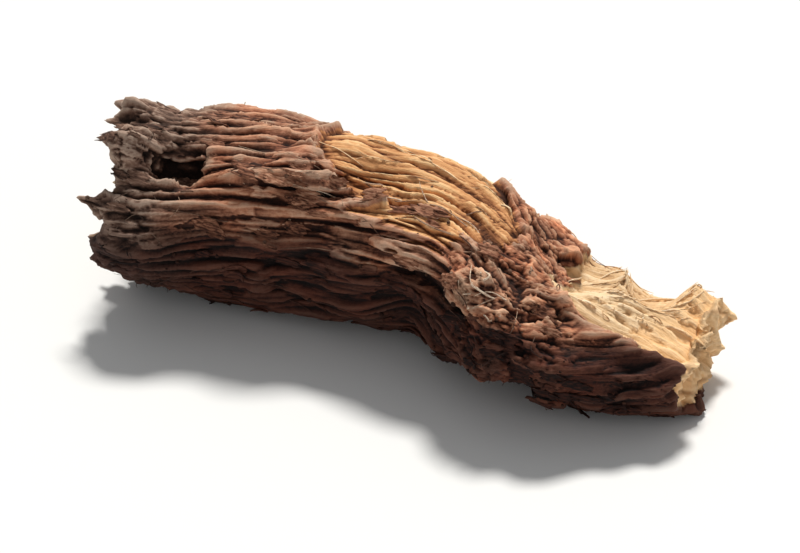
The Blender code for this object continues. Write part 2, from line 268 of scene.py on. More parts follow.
class Skin:
    """Where points lie on the root: along it, round it and under its bark, and which layer is bare there."""

    def __init__(self, points, normals):
        self.x = points[:, 0]
        self.normals = normals
        heart_y, heart_z, half_depth, half_height = station(self.x)
        y = points[:, 1] - heart_y
        z = points[:, 2] - heart_z
        self.angle = np.arctan2(z, y) % (2.0 * np.pi)
        rim = 1.0 / np.hypot(np.cos(self.angle) / half_depth, np.sin(self.angle) / half_height)
        self.depth = rim - np.hypot(y, z)
        turn = GRAIN_TURN * self.x
        self.across = y * np.cos(turn) - z * np.sin(turn)
        self.up = y * np.sin(turn) + z * np.cos(turn)
        self.place = np.stack((self.x, self.across, self.up), axis=1)
        self.level = np.zeros(len(self.x))
        around = self.angle + turn
        self.round = np.stack((self.x, GIRTH * np.cos(around), GIRTH * np.sin(around)), axis=1)
        self.stray = 0.30 * noise(self.bark_grain(2.2, 2.2), 40)[:, None]
        self.cork = eased(0.02, 0.10, layered(self.bark_grain(1.9, 0.50) + self.stray, 5))
        self.find_layers(points)

    def wood_grain(self, length, width):
        """Coordinates for noise on bare wood, the same at every depth."""
        return np.stack((self.x / length, self.side / width, self.level), axis=1)

    def bark_grain(self, length, width):
        """Coordinates for noise on bark, the same at every depth."""
        return self.round / (length, width, width)

    def find_layers(self, points):
        """Finds which layer is bare at each point, as masks from 0 to 1."""
        ragged = 0.10 * layered(self.bark_grain(1.4, 0.45), 3)
        ragged += 0.05 * noise(self.bark_grain(0.5, 0.22), 59)
        self.find_almond(ragged)
        self.find_cuts(points, ragged)
        self.find_ends(ragged)
        inside = eased(0.5, 0.8, self.depth + ragged) * (self.x > BARE_TIP_START)
        self.cut = np.maximum.reduce((self.tongue, self.split, self.end, inside))
        self.bare = np.maximum(self.cut, self.window)
        near = peak(self.x, KNOT_MIDDLE, KNOT_HALF_LENGTH) * (1.0 - self.bare)
        self.knot = eased(0.15, 0.75, near + 0.25 * layered(self.place / 1.4, 45))
        self.bark = (1.0 - self.bare) * (1.0 - self.knot)

    def find_almond(self, ragged):
        """Finds the inner bark that is bare, and the solid's hollow round it."""
        strips = 0.42 * layered(self.bark_grain(5.0, 0.42), 53, 2)
        front = eased(0.2, 0.7, self.turned(ALMOND_ANGLE))
        self.almond_edge = self.almond(*WINDOW) + ragged + strips * front
        self.window = 1.0 - eased(0.95, 1.00, self.almond_edge)
        self.sunk = 1.0 - eased(0.85, 1.05, self.almond(*ALMOND))

    def find_cuts(self, points, ragged):
        """Finds the wood of the tongue and of the split back, and the way across its fibres."""
        self.past_edge = np.degrees(self.turned(math.radians(90.0))) + 90.0 - self.tongue_edge()
        short_of_edge = eased(2.0, -2.0, self.past_edge + 30.0 * ragged)
        self.tip = self.tip_mask(ragged) * short_of_edge
        self.tongue = np.maximum(self.cut_mask(points, TONGUE_CUT, ragged) * short_of_edge, self.tip)
        self.split = self.cut_mask(points, BACK_CUT, ragged)
        self.side = np.where(self.split > self.tongue, self.up, self.across)

    def find_ends(self, ragged):
        """Finds the broken faces, and the bare wood in them."""
        left = eased(0.35, 0.65, -self.normals[:, 0]) * (self.x < LEFT_FACE_END)
        right = eased(0.60, 0.85, self.normals[:, 0]) * (self.x > RIGHT_FACE_START)
        self.broken = np.maximum(left, right)
        self.end = eased(0.4, 0.6, self.broken * eased(0.20, 0.45, self.depth + ragged))

    def tongue_edge(self):
        """How far round to the front the bare wood of the tongue reaches, in degrees."""
        past = np.clip((self.x - TONGUE_START) / TONGUE_RUN, 0.0, None)
        return TONGUE_TOP + TONGUE_REACH * past**0.62

    def tip_mask(self, ragged):
        """1 on the top and back past the knot, where the bark is gone round the tongue."""
        torn = 0.6 * layered(self.bark_grain(1.6, 0.8), 62) + 2.0 * ragged
        past = eased(0.0, 0.3, self.x - TONGUE_START + torn)
        back = np.degrees(self.turned(math.radians(60.0))) + 60.0 + 60.0 * ragged
        return past * eased(BACK_REACH, BACK_REACH + 10.0, back)

    def almond(self, middle, half_length, half_angle):
        """0 in the middle of an almond where the bark is off, 1 at its edge."""
        along = (self.x - middle) / half_length
        around = self.turned(ALMOND_ANGLE + ALMOND_SKEW * along)
        around /= np.where(around > 0.0, half_angle, ALMOND_HALF_ANGLE)
        return np.abs(along) ** ALMOND_SHAPE + np.abs(around) ** ALMOND_SHAPE

    def turned(self, middle):
        """How far each point lies round from an angle, from -pi to pi."""
        return (self.angle - middle + np.pi) % (2.0 * np.pi) - np.pi

    def cut_mask(self, points, cut, ragged):
        """1 on the wood that a cut bares, 0 elsewhere."""
        point, normal = np.array(cut)
        normal /= np.linalg.norm(normal)
        above = (points - point) @ normal
        near = eased(-0.75, -0.45, above + ragged)
        under = eased(0.28, 0.50, self.depth + 2.0 * ragged)
        facing = eased(0.15, 0.45, self.normals @ normal + ragged)
        return eased(0.35, 0.65, near * under * facing)


def read(items, field, columns=3, kind=float):
    """A field of a mesh's points, normals or edges, with a row for each."""
    values = np.empty(len(items) * columns, kind)
    items.foreach_get(field, values)
    return values.reshape(-1, columns)


def blurred(values, edges, rounds):
    """Values at a mesh's points, drawn halfway to their neighbours' mean in each round."""
    shape = (-1,) + (1,) * (values.ndim - 1)
    count = np.bincount(edges.ravel(), minlength=len(values)).clip(1).reshape(shape)
    for _ in range(rounds):
        total = np.zeros_like(values)
        np.add.at(total, edges[:, 0], values[edges[:, 1]])
        np.add.at(total, edges[:, 1], values[edges[:, 0]])
        values = values + 0.5 * (total / count - values)
    return values


def placed(name, data):
    """A new object in the scene."""
    obj = bpy.data.objects.new(name, data)
    bpy.context.scene.collection.objects.link(obj)
    return obj


def dressed(name, mesh, material):
    """A smooth piece of the scene that rides on the chip's body."""
    mesh.materials.clear()
    mesh.materials.append(material)
    mesh.shade_smooth()
    mesh.update()
    piece = placed(name, mesh)
    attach(piece, BODY)
    return piece


def fine_solid():
    """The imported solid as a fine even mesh, in millimetres from the start of the root."""
    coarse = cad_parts[NODE].data.copy()
    coarse.transform(Matrix.Diagonal((SQUEEZE / MM, 1.0 / MM, 1.0 / MM, 1.0)))
    obj = placed("fine solid", coarse)
    remesh = obj.modifiers.new("remesh", "REMESH")
    remesh.mode = "VOXEL"
    remesh.voxel_size = VOXEL
    mesh = bpy.data.meshes.new_from_object(obj.evaluated_get(bpy.context.evaluated_depsgraph_get()))
    bpy.data.objects.remove(obj)
    bpy.data.meshes.remove(coarse)
    points = blurred(read(mesh.vertices, "co"), read(mesh.edges, "vertices", 2, int), FACET_ROUNDS)
    points /= (SQUEEZE, 1.0, 1.0)
    mesh.vertices.foreach_set("co", (points + LOFT_ORIGIN).ravel())
    mesh.update()
    return mesh


def fissures(skin):
    """How deep the fissures cut."""
    depth = np.zeros(len(skin.x))
    for start, end, angle_from, angle_to, deepest, half_width in FISSURES:
        share = np.clip((skin.x - start) / (end - start), 0.0, 1.0)
        middle = np.radians(angle_from + (angle_to - angle_from) * share)
        middle += 0.05 * noise(np.stack((skin.x / 1.1, np.full(len(share), angle_from), share), axis=1))
        away = np.abs(skin.turned(middle)) * GIRTH / half_width
        depth += deepest * np.clip(1.0 - away, 0.0, 1.0) * np.sin(np.pi * share) ** 0.5
    return depth


def bark_relief(skin):
    """Lengthwise wrinkles in four sizes, flaked cork, and cracks across the ridges."""
    wrinkles = 0.15 * noise(skin.bark_grain(6.5, 0.85) + skin.stray, 1)
    wrinkles += 0.20 * creased(skin.bark_grain(5.0, 0.46) + skin.stray, 2)
    wrinkles += 0.11 * noise(skin.bark_grain(3.8, 0.24) + skin.stray, 3)
    wrinkles += 0.05 * creased(skin.bark_grain(2.4, 0.17) + skin.stray, 4)
    lead = cells(skin.bark_grain(0.75, 1.30), 6)[1]
    cracks = eased(0.10, 0.0, lead) * eased(0.0, 0.5, noise(skin.bark_grain(1.3, 1.3), 7))
    return wrinkles - 0.12 + 0.08 * skin.cork - 0.10 * cracks


def knot_relief(skin):
    """Lumps, short twisted ridges, and cork broken into tilted scales."""
    stray = 0.35 * noise(skin.place / 0.9, 42)[:, None]
    lumps = 0.24 * noise(skin.place / (1.2, 0.9, 0.9), 8)
    scales = 0.17 * shards(skin.place / (0.95, 0.48, 0.48) + stray, 10)
    crumbs = 0.07 * shards(skin.place / (0.40, 0.21, 0.21) + stray, 9)
    return lumps + scales + crumbs + 0.06 * creased(skin.bark_grain(1.4, 0.20) + stray, 11)


def cracks_between(points, seed, width):
    """Narrow cracks between long flat strips, 1 in a crack and 0 beside it."""
    return eased(width, 0.0, np.abs(noise(points, seed)))


def wood_relief(skin):
    """Split wood: flat strips at differing levels, with narrow cracks and fibres."""
    stray = 0.09 * noise(skin.place / (5.0, 1.8, 1.8), 41)[:, None]
    strips = layered(skin.wood_grain(11.0, 0.58) + stray, 12, 2)
    steps = eased(-0.03, 0.03, strips) + eased(0.27, 0.33, strips) + eased(-0.37, -0.31, strips)
    cracks = 0.11 * cracks_between(skin.wood_grain(13.0, 0.90) + stray, 13, 0.09)
    cracks += 0.05 * cracks_between(skin.wood_grain(9.0, 0.40) + stray, 14, 0.12)
    fibres = 0.055 * creased(skin.wood_grain(10.0, 0.15) + stray, 21)
    broad = 0.10 * noise(skin.wood_grain(3.4, 1.7), 22)
    chips = 0.10 * eased(0.12, 0.18, layered(skin.wood_grain(1.9, 0.48) + stray, 25))
    deeper = 1.0 - 0.4 * skin.tongue
    return deeper * (0.065 * steps - cracks + fibres) + broad - chips - 0.22 - 0.14 * skin.tip


def window_relief(skin):
    """The smoother inner bark of the almond, with cracks along it and strips torn from it."""
    stray = 0.20 * noise(skin.bark_grain(2.5, 1.5), 43)[:, None]
    frayed = eased(0.2, 0.8, skin.turned(ALMOND_ANGLE))
    cracks = 0.09 * cracks_between(skin.bark_grain(6.5, 0.85) + stray, 15, 0.12)
    cracks += (0.05 + 0.07 * frayed) * cracks_between(skin.bark_grain(4.2, 0.36) + stray, 16, 0.15)
    fibres = (0.04 + 0.05 * frayed) * creased(skin.bark_grain(4.5, 0.20) + stray, 23)
    strips = layered(skin.bark_grain(4.0, 0.62) + stray, 17, 2)
    broad = 0.07 * noise(skin.bark_grain(3.8, 0.80) + stray, 24)
    outer = 0.20 * (1.0 - skin.sunk)
    return fibres + broad - cracks - 0.06 - outer + 0.09 * eased(0.05, 0.12, strips)


def worn_relief(skin):
    """Weathered cork at the left end, frayed along the grain."""
    stray = 0.4 * noise(skin.place / 0.8, 47)[:, None]
    frayed = 0.10 * creased(skin.bark_grain(1.8, 0.22) + stray, 46) + 0.08 * noise(skin.place / 0.55, 55)
    return frayed + 0.10 * shards(skin.bark_grain(1.1, 0.42) + stray, 56) - 0.05


def pit_depth(skin):
    """How deep the pit by the left end goes, beyond the solid's own hollow."""
    place, degrees, radius, deepest = PIT
    away = np.hypot(skin.x - place, skin.turned(math.radians(degrees)) * LOBE_GIRTH) / radius
    return deepest * np.exp(-((away * (1.0 + 0.6 * layered(skin.place / 0.7, 44))) ** 4))


def stub_tips(skin):
    """1 on the broken tips of the rootlet stubs."""
    tips = np.zeros(len(skin.x))
    for place, degrees, radius in ROOTLETS:
        away = np.hypot(skin.x - place - 0.1, skin.turned(math.radians(degrees)) * KNOT_GIRTH) / radius
        tips = np.maximum(tips, eased(1.15, 0.85, away))
    return tips


def section(skin, outward, turns):
    """Coordinates for noise on a broken end, whose rays run out from the heart."""
    reach = np.hypot(skin.across, skin.up)
    return np.stack((reach / outward, turns * np.cos(skin.angle), turns * np.sin(skin.angle)), axis=1)


def end_relief(skin):
    """A broken end, as a height along the root: torn steps, rays from the heart, and pores."""
    face = np.stack((skin.x / 9.0, skin.across, skin.up), axis=1)
    stray = 0.3 * noise(face / (1.0, 0.8, 0.8), 48)[:, None]
    tears = layered(face / (1.0, 1.3, 1.3) + stray, 49, 2)
    steps = eased(-0.12, 0.0, tears) + eased(0.16, 0.28, tears) + eased(-0.42, -0.30, tears)
    rays = 0.15 * creased(section(skin, 2.2, 3.6) + stray, 52)
    rays += 0.08 * creased(section(skin, 1.3, 8.0) + stray, 18)
    pores = 0.14 * eased(0.30, 0.55, noise(face / (1.0, 0.20, 0.20), 19))
    coarse = 0.22 * shards(face / (1.0, 0.42, 0.42) + stray, 54)
    fine = 0.16 * shards(face / (1.0, 0.34, 0.34) + stray, 54)
    fine += 0.09 * creased(face / (1.0, 0.17, 0.17) + stray, 63)
    splinters = np.where(skin.x < MIDDLE, fine, coarse)
    return 0.22 * (steps - 1.5) + 0.20 * tears + rays + splinters - pores


def almond_rim(skin):
    """The bark's full thickness where it covers the solid's hollow, and its curled lip."""
    lip = peak(skin.almond_edge, 1.04, 0.05) * (1.0 - skin.cut)
    lip *= eased(-0.5, 0.5, noise(skin.place / 1.1, 60))
    return BARK_THICKNESS * skin.sunk * (1.0 - skin.bare) + LIP_HEIGHT * lip


def tongue_rim(skin):
    """The bark beside the tongue, filled out, and its edge that stands up."""
    beside = eased(TONGUE_START, TONGUE_START + 0.8, skin.x) * (1.0 - skin.cut)
    rim = peak(skin.past_edge, 5.0, 6.0) * eased(-0.6, 0.3, noise(skin.place / 0.9, 61))
    fill = 0.7 * eased(-2.0, 8.0, skin.past_edge) * np.clip(skin.depth, 0.0, 0.8)
    return beside * (RIM_HEIGHT * rim + fill)


def layer_relief(skin):
    """The relief of every layer, as a height out of the solid."""
    cover = 1.0 - skin.cut
    wood = (skin.tongue + skin.split * (1.0 - skin.tongue)) * (1.0 - skin.end)
    height = skin.bark * bark_relief(skin) + skin.knot * knot_relief(skin) + wood * wood_relief(skin)
    height += skin.window * cover * window_relief(skin)
    height += eased(*WORN_SHAPE, skin.x) * cover * worn_relief(skin)
    height -= cover * (fissures(skin) + pit_depth(skin))
    return height + almond_rim(skin) + tongue_rim(skin)


def torn_ends(skin):
    """How far the broken faces move along the root. The left one is sunk behind the bark's edge."""
    left = skin.x < MIDDLE
    rough = np.where(left, 0.75, 0.5) * (0.35 + 0.65 * eased(0.1, 0.6, skin.depth))
    sunk = np.where(left, 0.60, 0.0) * eased(0.3, 0.6, skin.depth) * eased(1.7, 1.0, skin.depth)
    return np.where(left, -1.0, 1.0) * (end_relief(skin) - sunk) * rough * skin.broken


def even_cuts(points, edges, skin):
    """Takes the solid's coarse ridges off the bare wood."""
    even = blurred(points, edges, CUT_ROUNDS)
    share = 0.75 * blurred(skin.cut * (1.0 - skin.end), edges, 8)
    return points + share[:, None] * (even - points)


def keep_inside(points):
    """Holds points within the solid's length and depth, and above the floor."""
    points[:, 0] = np.clip(points[:, 0], END_REACH, LENGTH - END_REACH)
    points[:, 1] += SIDE_PRESS * (np.clip(points[:, 1], BOX_FRONT, BOX_BACK) - points[:, 1])
    points[:, 2] = np.maximum(points[:, 2], 0.0)


def raise_relief(mesh):
    """Raises the relief on the fine solid, and returns where its points lie."""
    points = read(mesh.vertices, "co")
    edges = read(mesh.edges, "vertices", 2, int)
    outward = blurred(read(mesh.vertex_normals, "vector"), edges, NORMAL_ROUNDS)
    outward /= np.linalg.norm(outward, axis=1)[:, None]
    skin = Skin(points, outward)
    points = even_cuts(points, edges, skin)
    height = layer_relief(skin) + 0.02 * noise(points / 0.12, 30)
    resting = eased(0.0, FOOT_FADE, points[:, 2])
    points += (height * resting * (1.0 - 0.8 * skin.broken))[:, None] * outward
    points[:, 0] += torn_ends(skin) * resting
    keep_inside(points)
    mesh.vertices.foreach_set("co", points.ravel())
    mesh.update()
    return skin


def hollows(mesh):
    """How far each point stands out of the skin round it, at a fine and a broad scale."""
    points = read(mesh.vertices, "co")
    normals = read(mesh.vertex_normals, "vector")
    edges = read(mesh.edges, "vertices", 2, int)
    near = blurred(points, edges, 5)
    wide = blurred(near, edges, 45)
    fine = ((points - near) * normals).sum(axis=1)
    broad = ((near - wide) * normals).sum(axis=1)
    return fine, broad


def write(mesh, name, values):
    """Keeps values at a mesh's points for a material to read."""
    kind, field = ("FLOAT_VECTOR", "vector") if values.ndim == 2 else ("FLOAT", "value")
    mesh.attributes.new(name, kind, "POINT").data.foreach_set(field, values.astype(np.float32).ravel())


def painted_shade_low_side(x, degrees):
    """1 low on the front and underneath, where shade is painted into the colour, 0 above it."""
    brow = 160.0 - 14.0 * eased(13.0, 18.0, x)
    return eased(brow - 5.0, brow + 11.0, degrees) * eased(352.0, 320.0, degrees)


def grain_of(skin):
    """Coordinates for the material's noise, along the grain of the bare layer."""
    wood = np.stack((skin.x, skin.side, 0.2 * skin.depth), axis=1)
    wood = np.where(skin.end[:, None] > 0.5, section(skin, 1.0, 2.5), wood)
    return np.where(skin.cut[:, None] > 0.5, wood, skin.round)


def end_rings(skin):
    """The dark ring under the bark and the dark heart of a broken end."""
    ring = peak(skin.depth + 0.08 * noise(skin.place / 0.6, 57), 0.75, 0.12)
    heart = np.exp(-(skin.across**2 + skin.up**2) / 0.30)
    return skin.end * np.clip(ring + 0.6 * heart, 0.0, 1.0)


def painted_shade_mask(skin):
    """Where shade is painted into the bark's colour on the chip's low side."""
    around = np.degrees(skin.angle) + 9.0 * noise(skin.bark_grain(3.0, 1.5), 51)
    return painted_shade_low_side(skin.x, around) * (1.0 - skin.cut)


def weathered(skin):
    """Where the skin is grey with age: the left end, and the outer wood of its broken face."""
    old = eased(*WORN_LOOK, skin.x + 0.9 * noise(skin.place / 1.3, 50))
    return old * (1.0 - 0.85 * skin.cut * eased(0.9, 1.6, skin.depth))


def yellow_and_highlight(skin):
    """Where inner bark and wood are yellow, with a highlight painted along the almond's top. It is below 0
    where the almond is dull, towards the knot.
    """
    crown_highlight = peak(skin.x, 12.4, 2.6) * peak(skin.turned(math.radians(96.0)), 0.0, 0.38)
    front = 0.75 * eased(0.35, 0.75, skin.turned(ALMOND_ANGLE))
    dull = 0.8 * eased(13.4, 15.6, skin.x)
    tip = eased(20.4, 22.4, skin.x + 0.8 * noise(skin.place / 1.2, 58))
    return skin.window * (np.maximum(crown_highlight, front) * (1.0 - skin.cut) - dull) + tip * skin.cut


def record_skin(mesh, skin):
    """Writes what the material reads: the grain's coordinates and where each look lies."""
    fine, broad = hollows(mesh)
    looks = {
        "grain": grain_of(skin),
        # The crest drives the colour ramps: besides the real darker furrows, it paints shade into hollows and
        # highlight on crests.
        "crest": np.clip(0.5 + 9.0 * fine + 3.2 * broad, 0.0, 1.0),
        "window": skin.window * (1.0 - skin.cut),
        "wood": skin.cut,
        "stub": stub_tips(skin) * eased(-0.25, -0.45, skin.depth),
        "knot": skin.knot,
        "cork": skin.cork,
        "deep": eased(0.6, 1.6, skin.depth),
        "section": end_rings(skin),
        "shade": painted_shade_mask(skin),
        "old": weathered(skin),
        "ochre_and_highlight": yellow_and_highlight(skin),
    }
    for name, values in looks.items():
        write(mesh, name, values)


# The colours of each layer, from its hollows to its crests: partly the layer's own darker furrows and paler
# ridges, partly shade painted into the hollows and highlight painted on the crests.
BARK_STOPS = (
    (0.0, (0.01, 0.0032, 0.002)),
    (0.28, (0.068, 0.023, 0.0125)),
    (0.52, (0.24, 0.096, 0.053)),
    (0.76, (0.44, 0.215, 0.127)),
    (1.0, (0.58, 0.36, 0.24)),
)
WINDOW_STOPS = (
    (0.0, (0.042, 0.012, 0.0045)),
    (0.28, (0.22, 0.08, 0.03)),
    (0.5, (0.52, 0.23, 0.092)),
    (0.76, (0.73, 0.375, 0.158)),
    (1.0, (0.88, 0.55, 0.275)),
)
WOOD_STOPS = (
    (0.0, (0.1, 0.039, 0.015)),
    (0.2, (0.36, 0.18, 0.08)),
    (0.42, (0.68, 0.445, 0.235)),
    (0.7, (0.88, 0.65, 0.4)),
    (1.0, (0.97, 0.79, 0.56)),
)
OLD_STOPS = (
    (0.0, (0.012, 0.006, 0.004)),
    (0.35, (0.058, 0.033, 0.023)),
    (0.68, (0.165, 0.107, 0.08)),
    (1.0, (0.38, 0.285, 0.225)),
)
BAST_STOPS = (
    (0.0, (0.085, 0.04, 0.026)),
    (0.45, (0.27, 0.15, 0.095)),
    (0.8, (0.56, 0.39, 0.27)),
    (1.0, (0.78, 0.64, 0.49)),
)

# Colours that others are multiplied by.
RED_STOPS = ((0.40, (0.92, 0.97, 1.0)), (0.66, (1.16, 0.95, 0.84)))
PALE_STOPS = ((0.46, (0.86, 0.80, 0.76)), (0.62, (1.60, 1.48, 1.34)))
FLECK_STOPS = ((0.60, (1.0, 1.0, 1.0)), (0.72, (0.42, 0.34, 0.28)))
STUB_STOPS = ((0.35, (0.16, 0.085, 0.05)), (0.65, (0.56, 0.37, 0.24)))
CORK_TINT = (0.90, 0.95, 1.02, 1.0)
YELLOW_TINT = (1.0, 0.78, 0.54, 1.0)
OLD_WOOD_TINT = (0.50, 0.36, 0.26, 1.0)
RING_TINT = (0.34, 0.24, 0.17, 1.0)
# The tint of the shade painted on the chip's low side.
SHADE_TINT = (0.14, 0.072, 0.066, 1.0)


class Graph:
    """A material's node tree, built with short calls."""

    def __init__(self, name, roughness):
        self.material = bpy.data.materials.new(name)
        self.material.use_nodes = True
        self.tree = self.material.node_tree
        self.shader = self.tree.nodes["Principled BSDF"]
        self.shader.inputs["Roughness"].default_value = roughness
        self.shader.inputs["Specular IOR Level"].default_value = 0.25

    def add(self, kind, inputs, output=0, **settings):
        """Adds a node, sets or links its inputs, and returns one of its outputs."""
        node = self.tree.nodes.new(kind)
        for name, value in settings.items():
            setattr(node, name, value)
        for key, value in inputs.items():
            if isinstance(value, bpy.types.NodeSocket):
                self.tree.links.new(value, node.inputs[key])
            else:
                node.inputs[key].default_value = value
        return node.outputs[output]

    def attribute(self, name, vector=False):
        """What the mesh carries under a name."""
        return self.add("ShaderNodeAttribute", {}, "Vector" if vector else "Fac", attribute_name=name)

    def noise(self, vector, stretch, detail, roughness=0.6):
        """Noise with so many waves in a millimetre along each axis."""
        scaled = self.add("ShaderNodeMapping", {"Vector": vector, "Scale": stretch})
        inputs = {"Vector": scaled, "Scale": 1.0, "Detail": detail, "Roughness": roughness}
        return self.add("ShaderNodeTexNoise", inputs)

    def math(self, operation, *values, clamp=False):
        """A sum or product of values."""
        return self.add("ShaderNodeMath", dict(enumerate(values)), operation=operation, use_clamp=clamp)

    def share(self, name, part):
        """An attribute times a number."""
        return self.math("MULTIPLY", self.attribute(name), part, clamp=True)

    def shifted(self, value, other, share):
        """A value moved up and down by another, which swings about a half."""
        swing = self.math("MULTIPLY_ADD", other, share, -0.5 * share)
        return self.math("ADD", value, swing, clamp=True)

    def crisp(self, mask, ragged):
        """A mask with its soft edge made sharp and ragged."""
        swing = self.math("ADD", mask, self.math("MULTIPLY_ADD", ragged, 0.5, -0.25))
        return self.math("MULTIPLY_ADD", swing, 5.0, -2.0, clamp=True)

    def mix(self, factor, first, second, blend="MIX"):
        """Two colours mixed."""
        inputs = {0: factor, 6: first, 7: second}
        return self.add("ShaderNodeMix", inputs, 2, data_type="RGBA", blend_type=blend)

    def times(self, colour, other, factor=1.0):
        """A colour times another, as far as the factor says."""
        return self.mix(factor, colour, other, "MULTIPLY")

    def with_painted_shade(self, colour):
        """The colour with shade painted in, darker where the shade attribute says."""
        return self.times(colour, SHADE_TINT, self.share("shade", 0.95))

    def ramp(self, factor, stops):
        """A colour that runs through stops, each a place and a colour."""
        colour = self.add("ShaderNodeValToRGB", {0: factor})
        elements = colour.node.color_ramp.elements
        elements[0].position, elements[0].color = stops[0][0], (*stops[0][1], 1.0)
        elements[1].position, elements[1].color = stops[-1][0], (*stops[-1][1], 1.0)
        for place, shade in stops[1:-1]:
            elements.new(place).color = (*shade, 1.0)
        return colour

    def finish(self, colour, bump, distance):
        """Links the colour and the bump, and returns the material."""
        normal = self.add("ShaderNodeBump", {"Height": bump, "Distance": distance, "Strength": 0.7})
        self.tree.links.new(colour, self.shader.inputs["Base Color"])
        self.tree.links.new(normal, self.shader.inputs["Normal"])
        return self.material


class SkinGraph(Graph):
    """The looks of bark, inner bark and wood, each by itself."""

    def __init__(self):
        super().__init__("root skin", 0.82)
        self.grain = self.attribute("grain", vector=True)
        self.crest = self.attribute("crest")
        self.streaks = self.noise(self.grain, (0.35, 2.6, 2.6), 5.0)
        self.fibres = self.noise(self.grain, (1.1, 13.0, 13.0), 4.0, 0.7)
        self.blotches = self.noise(self.grain, (0.7, 1.1, 1.1), 4.0)
        self.grit = self.noise(self.grain, (11.0, 16.0, 16.0), 3.0, 0.7)

    def grained(self, height, fibres, streaks):
        """A height with fibres and streaks of such shares added to it."""
        return self.shifted(self.shifted(height, self.fibres, fibres), self.streaks, streaks)

    def raised(self, height, part):
        """A height raised where the skin is yellow, and where a highlight is painted on the almond's top."""
        return self.math("MULTIPLY_ADD", self.attribute("ochre_and_highlight"), part, height)

    def bark(self):
        """Brown bark, redder in blotches, with grey cork, and dark and pale spots on the knot."""
        height = self.shifted(self.grained(self.crest, 0.60, 0.45), self.grit, 0.45)
        bark = self.ramp(height, BARK_STOPS)
        bark = self.times(bark, CORK_TINT, self.share("cork", 0.40))
        bark = self.times(bark, self.ramp(self.blotches, RED_STOPS))
        pale = self.ramp(self.noise(self.grain, (1.6, 2.4, 2.4), 3.0), PALE_STOPS)
        return self.times(bark, pale, self.share("knot", 0.8))

    def window(self):
        """The orange inner bark of the almond."""
        return self.ramp(self.raised(self.grained(self.crest, 0.50, 0.80), 0.14), WINDOW_STOPS)

    def wood(self):
        """Pale wood: yellow at the tip, brown on the old end, flecked deep down, and ringed on the ends."""
        soft = self.math("MULTIPLY_ADD", self.crest, 0.55, 0.30)
        wood = self.ramp(self.raised(self.grained(soft, 0.50, 0.75), 0.16), WOOD_STOPS)
        wood = self.times(wood, YELLOW_TINT, self.share("ochre_and_highlight", 0.70))
        wood = self.times(wood, OLD_WOOD_TINT, self.attribute("old"))
        flecks = self.ramp(self.noise(self.grain, (0.5, 4.2, 4.2), 2.0), FLECK_STOPS)
        wood = self.times(wood, flecks, self.share("deep", 0.75))
        return self.times(wood, RING_TINT, self.share("section", 0.65))

    def relief(self):
        """Fine fibres, grit and threads, for the bump."""
        threads = self.noise(self.grain, (2.2, 26.0, 26.0), 2.0)
        relief = self.math("MULTIPLY_ADD", self.grit, 0.7, self.fibres)
        return self.math("MULTIPLY_ADD", threads, 0.5, relief)


def skin_material():
    """The layers' looks, each where its attribute says."""
    graph = SkinGraph()
    worn = graph.shifted(graph.shifted(graph.crest, graph.grit, 0.70), graph.blotches, 0.5)
    colour = graph.mix(graph.crisp(graph.attribute("window"), graph.fibres), graph.bark(), graph.window())
    colour = graph.mix(graph.crisp(graph.attribute("wood"), graph.fibres), colour, graph.wood())
    colour = graph.mix(graph.share("old", 0.80), colour, graph.ramp(worn, OLD_STOPS))
    colour = graph.mix(graph.share("stub", 0.6), colour, graph.ramp(graph.grit, STUB_STOPS))
    return graph.finish(graph.with_painted_shade(colour), graph.relief(), 0.00005)


def chip_skin():
    """The chip itself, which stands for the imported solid."""
    mesh = fine_solid()
    skin = raise_relief(mesh)
    record_skin(mesh, skin)
    mesh.vertices.foreach_set("co", ((read(mesh.vertices, "co") - LOFT_ORIGIN) * MM).ravel())
    chip = dressed("root_skin", mesh, skin_material())
    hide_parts(NODE)
    return chip


class Surface:
    """The finished skin in millimetres, for setting loose pieces on it."""

    def __init__(self, chip):
        points = read(chip.data.vertices, "co") / MM + LOFT_ORIGIN
        faces = [tuple(face.vertices) for face in chip.data.polygons]
        self.tree = BVHTree.FromPolygons([Vector(point) for point in points], faces)

    def at(self, x, degrees):
        """The skin's outermost point at x in an angle's direction, and that direction."""
        heart_y, heart_z = heart_at(x)
        angle = math.radians(degrees)
        out = Vector((0.0, math.cos(angle), math.sin(angle)))
        hit = self.tree.ray_cast(Vector((x, heart_y, heart_z)) + 9.0 * out, -out)[0]
        return hit, out

    def near(self, point):
        """The skin's nearest point."""
        return self.tree.find_nearest(point)[0]


